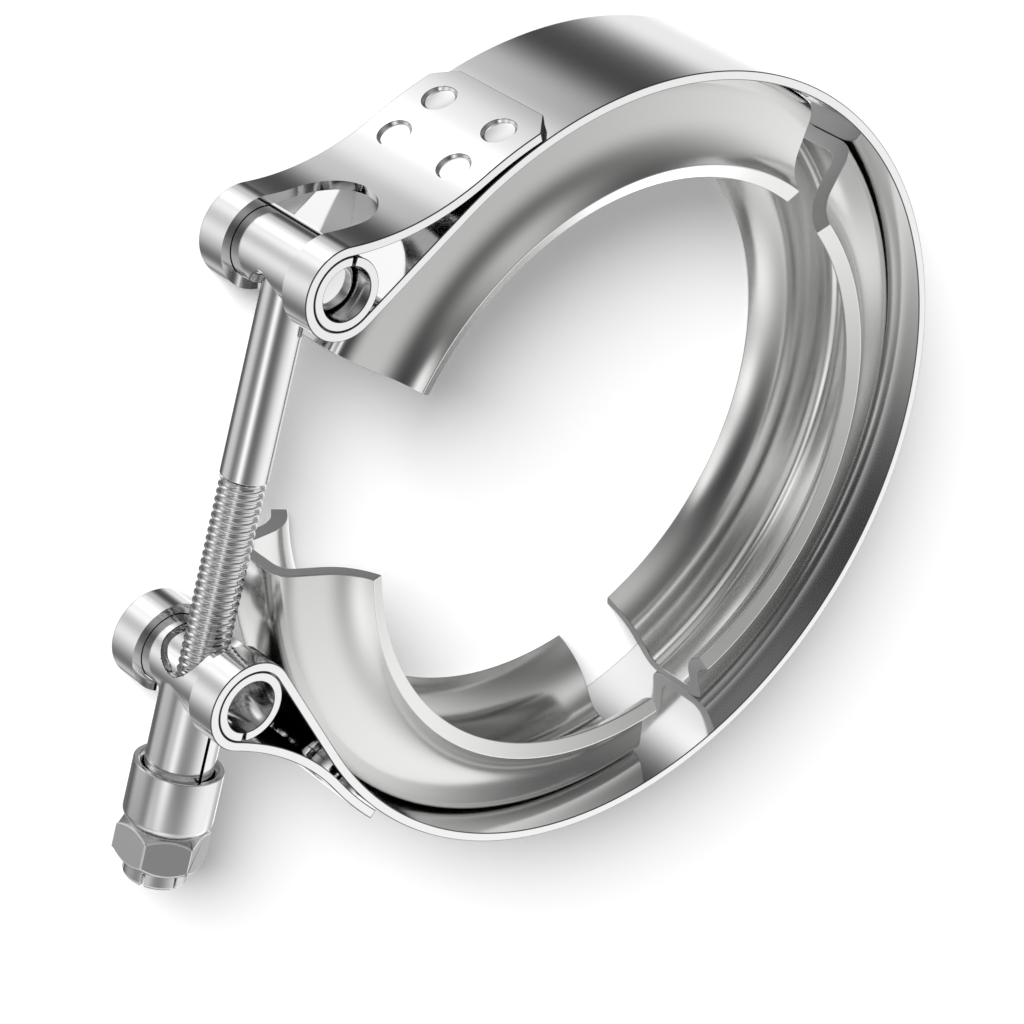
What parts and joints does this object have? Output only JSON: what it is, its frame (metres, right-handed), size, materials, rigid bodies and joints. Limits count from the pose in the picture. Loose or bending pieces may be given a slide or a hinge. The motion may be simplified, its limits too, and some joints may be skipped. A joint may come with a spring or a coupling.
{
  "type": "v band clamp",
  "caption": "Open V-band exhaust clamp: polished steel band with looped ends, V-section segments inside it, and a T-bolt latch with lock nut.",
  "frame": {"origin": "centre of the clamping ring, half way across the band's width", "axes": "+Z along the ring's axis, -X through the gap that the T-bolt bridges, +Y towards the bolt's head"},
  "size_m": [0.1113, 0.1063, 0.02],
  "materials": {
    "band_steel": "mirror polished stainless sheet",
    "segment_steel": "polished pressed stainless sheet, grey sheared ends",
    "trunnion_steel": "polished rolled stainless sheet",
    "bolt_steel": "polished shank with a rolled thread",
    "collar_steel": "polished turned stainless",
    "nut_steel": "satin stainless hexagon with bright chamfers"
  },
  "bodies": {
    "clamp": {"band": "band_steel", "segment_upper": "segment_steel", "segment_right": "segment_steel", "segment_lower": "segment_steel"},
    "bolt": {"t_bolt": "bolt_steel", "upper_trunnion": "trunnion_steel"},
    "latch": {"lower_trunnion": "trunnion_steel"},
    "cup": {"collar": "collar_steel"},
    "nut": {"lock_nut": "nut_steel"}
  },
  "joints": [
    {"name": "latch_swing", "type": "hinge", "parent": "clamp", "child": "latch", "pos_m": [-0.05329, -0.02593, 0], "axis": [0, 0, 1], "range_deg": [-2, 2]},
    {"name": "bolt_swing", "type": "hinge", "parent": "clamp", "child": "bolt", "pos_m": [-0.05329, 0.02593, 0], "axis": [0, 0, 1], "range_deg": [-0.48, 0.48]},
    {"name": "nut_travel", "type": "slide", "parent": "bolt", "child": "cup", "axis": [0, -1, 0], "range_m": [0, 0.006]},
    {"name": "nut_turn", "type": "hinge", "parent": "cup", "child": "nut", "pos_m": [-0.05329, -0.02593, 0], "axis": [0, -1, 0], "range_deg": [0, 2160]}
  ],
  "couplings": [
    {"joint": "bolt_swing", "follows": "latch_swing", "ratio": 0.2357},
    {"joint": "nut_turn", "follows": "nut_travel", "rad_per_m": 6283.2}
  ]
}
